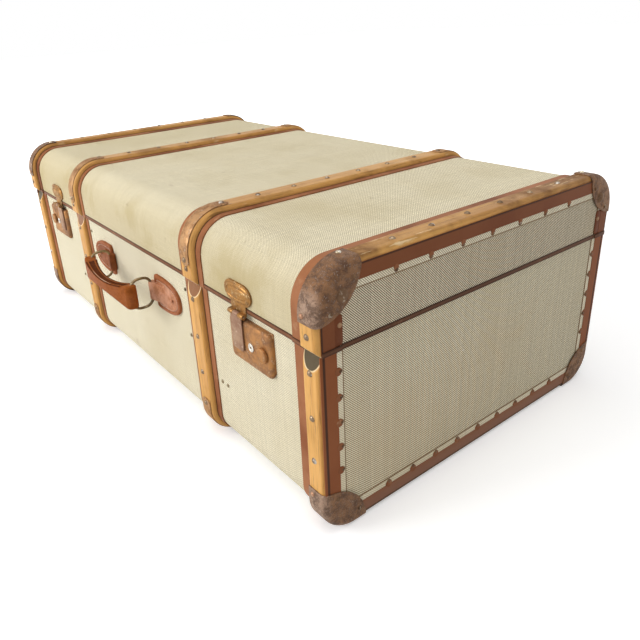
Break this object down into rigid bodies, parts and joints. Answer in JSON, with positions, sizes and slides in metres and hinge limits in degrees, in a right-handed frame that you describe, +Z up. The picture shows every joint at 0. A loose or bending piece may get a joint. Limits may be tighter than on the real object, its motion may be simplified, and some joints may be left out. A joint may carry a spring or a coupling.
{
  "type": "travel trunk",
  "caption": "Flat canvas travel trunk with bentwood slats, fibre edging and steel corner caps, a hinged lid, hasp locks with sliding bolts and a leather handle on wire rings.",
  "frame": {"origin": "on the floor, under the middle of the whole trunk with its handle", "axes": "+X along the length, +Y from the handle side to the hinge side, +Z up"},
  "size_m": [0.8272, 0.4966, 0.2836],
  "materials": {
    "ply": "bare plywood",
    "canvas": "painted cotton canvas, aged cream",
    "end_canvas": "grey flecked canvas, aged",
    "strip_canvas": "pale canvas strip",
    "lining_paper": "plain aged lining paper",
    "fibre": "red-brown vulcanised fibre, worn",
    "slat_wood": "honey varnished ash, scuffed",
    "rim_wood": "plain wood",
    "cap_steel": "brown lacquered steel, worn",
    "rivet_steel": "dull tinned steel",
    "hinge_steel": "dull steel",
    "lock_brass": "brown tarnished brass",
    "ring_brass": "dark brass wire",
    "nickel": "bright nickel",
    "leather": "chestnut leather, worn"
  },
  "bodies": {
    "base": {"base_bend_clips": "cap_steel", "base_canvas": "canvas", "base_corner_caps": "cap_steel", "base_end_canvas": "end_canvas", "base_end_nails": "rivet_steel", "base_end_strips": "strip_canvas", "base_ends": "ply", "base_fibre_bands": "fibre", "base_fibre_edges": "fibre", "base_hinge_leaves": "hinge_steel", "base_lining": "lining_paper", "base_lip": "rim_wood", "base_shell": "ply", "base_slat_1": "slat_wood", "base_slat_2": "slat_wood", "base_slat_3": "slat_wood", "base_slat_4": "slat_wood", "base_slat_rivets": "rivet_steel", "chape_left": "leather", "chape_right": "leather", "chape_rivets": "ring_brass", "hinge_pins": "hinge_steel", "key_bush_left": "nickel", "key_bush_right": "nickel", "lock_plate_left": "lock_brass", "lock_plate_right": "lock_brass", "tray_runners": "rim_wood", "wall_rivets": "rivet_steel"},
    "lid": {"lid_bend_clips": "cap_steel", "lid_binding": "fibre", "lid_canvas": "canvas", "lid_corner_caps": "cap_steel", "lid_end_canvas": "end_canvas", "lid_end_nails": "rivet_steel", "lid_end_strips": "strip_canvas", "lid_ends": "ply", "lid_fibre_bands": "fibre", "lid_fibre_edges": "fibre", "lid_hinge_leaves": "hinge_steel", "lid_lining": "lining_paper", "lid_shell": "ply", "lid_slat_1": "slat_wood", "lid_slat_2": "slat_wood", "lid_slat_3": "slat_wood", "lid_slat_4": "slat_wood", "lid_slat_rivets": "rivet_steel", "hasp_plate_left": "lock_brass", "hasp_plate_right": "lock_brass", "hasp_pin_left": "lock_brass", "hasp_pin_right": "lock_brass"},
    "hasp_left": {"hasp_left": "lock_brass"},
    "hasp_right": {"hasp_right": "lock_brass"},
    "bolt_left": {"lock_bolt_left": "lock_brass"},
    "bolt_right": {"lock_bolt_right": "lock_brass"},
    "ring_left": {"ring_left": "ring_brass"},
    "ring_right": {"ring_right": "ring_brass"},
    "grip": {"grip": "leather"}
  },
  "joints": [
    {"name": "lid_hinge", "type": "hinge", "parent": "base", "child": "lid", "pos_m": [0, 0.24255, 0.2008], "axis": [-1, 0, 0], "range_deg": [0, 100]},
    {"name": "hasp_left_swing", "type": "hinge", "parent": "lid", "child": "hasp_left", "pos_m": [-0.27925, -0.20695, 0.1978], "axis": [-1, 0, 0], "range_deg": [0, 150]},
    {"name": "bolt_left_slide", "type": "slide", "parent": "base", "child": "bolt_left", "axis": [1, 0, 0], "range_m": [0, 0.0075]},
    {"name": "hasp_right_swing", "type": "hinge", "parent": "lid", "child": "hasp_right", "pos_m": [0.27925, -0.20695, 0.1978], "axis": [-1, 0, 0], "range_deg": [0, 150]},
    {"name": "bolt_right_slide", "type": "slide", "parent": "base", "child": "bolt_right", "axis": [-1, 0, 0], "range_m": [0, 0.0075]},
    {"name": "ring_left_swing", "type": "hinge", "parent": "base", "child": "ring_left", "pos_m": [-0.068, -0.20565, 0.155], "axis": [0, 0, 1], "range_deg": [-60, 60]},
    {"name": "ring_right_swing", "type": "hinge", "parent": "base", "child": "ring_right", "pos_m": [0.068, -0.20565, 0.155], "axis": [0, 0, 1], "range_deg": [-60, 60]},
    {"name": "grip_swing", "type": "hinge", "parent": "ring_left", "child": "grip", "pos_m": [-0.068, -0.23485, 0.155], "axis": [0, 0, 1], "range_deg": [-60, 60]}
  ],
  "couplings": [
    {"joint": "ring_right_swing", "follows": "ring_left_swing", "ratio": 1},
    {"joint": "grip_swing", "follows": "ring_left_swing", "ratio": -1}
  ]
}
